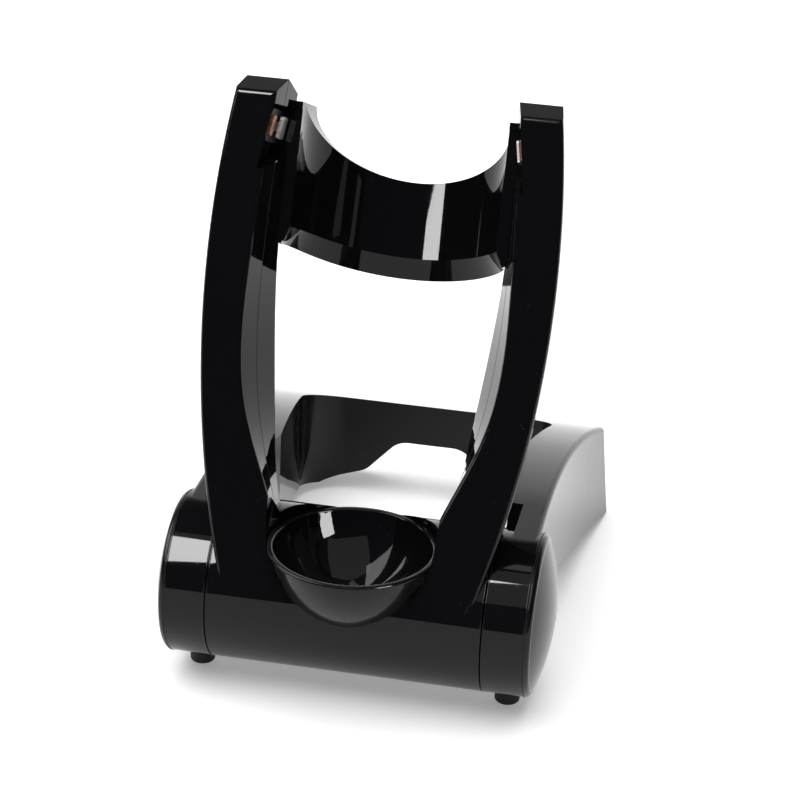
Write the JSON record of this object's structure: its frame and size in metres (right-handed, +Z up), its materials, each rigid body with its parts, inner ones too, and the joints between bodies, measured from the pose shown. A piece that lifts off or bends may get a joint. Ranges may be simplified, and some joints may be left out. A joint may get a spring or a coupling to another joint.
{
  "type": "shaver charging stand",
  "caption": "Folding charging stand for an electric shaver: a cup for its foot, two leaning arms with sprung contacts and a ring-shaped base.",
  "frame": {"origin": "centre of the bounding box's bottom face, on the surface that the feet stand on", "axes": "+X to the user's right along the hinge, +Y back towards the ring's rear rim, +Z up"},
  "size_m": [0.0936, 0.1328, 0.1321],
  "materials": {
    "gloss_black": "high gloss",
    "matt_black": "fine matt",
    "foot_rubber": "matt",
    "steel": "plain",
    "contact_plating": "satin nickel",
    "copper_strip": "dull copper",
    "pale_bearing": "smooth acetal",
    "wire_sleeve": "smooth sleeve"
  },
  "bodies": {
    "base": {"base_shell": "gloss_black", "front_feet": "foot_rubber", "rear_feet": "foot_rubber", "cover_screws": "steel", "inlet_socket": "matt_black", "inlet_pins": "steel", "base_cable": "wire_sleeve", "left_end_cap": "gloss_black", "right_end_cap": "gloss_black", "left_bottom_cover": "matt_black", "right_bottom_cover": "matt_black", "left_pivot": "pale_bearing", "right_pivot": "pale_bearing"},
    "upright": {"upright_front_shell": "gloss_black", "upright_rear_shell": "gloss_black", "foot_cup": "gloss_black", "shell_screws": "steel", "contact_wires": "wire_sleeve", "left_bush": "pale_bearing", "right_bush": "pale_bearing", "left_friction_washer": "steel", "right_friction_washer": "steel", "left_contact_holder": "matt_black", "right_contact_holder": "matt_black", "left_terminal": "copper_strip", "right_terminal": "copper_strip", "left_contact_spring": "steel", "right_contact_spring": "steel"},
    "left_contact": {"left_contact": "contact_plating"},
    "right_contact": {"right_contact": "contact_plating"}
  },
  "joints": [
    {"name": "upright_fold", "type": "hinge", "parent": "base", "child": "upright", "pos_m": [0, -0.03935, 0.0223], "axis": [-1, 0, 0], "range_deg": [0, 30]},
    {"name": "left_contact_press", "type": "slide", "parent": "upright", "child": "left_contact", "axis": [-0.9871, 0.0607, 0.1481], "range_m": [0, 0.001], "stiffness_N_per_m": 500, "springref_m": -0.001, "deforming": ["left_contact_spring"]},
    {"name": "right_contact_press", "type": "slide", "parent": "upright", "child": "right_contact", "axis": [0.9871, 0.0607, 0.1481], "range_m": [0, 0.001], "stiffness_N_per_m": 500, "springref_m": -0.001, "deforming": ["right_contact_spring"]}
  ]
}
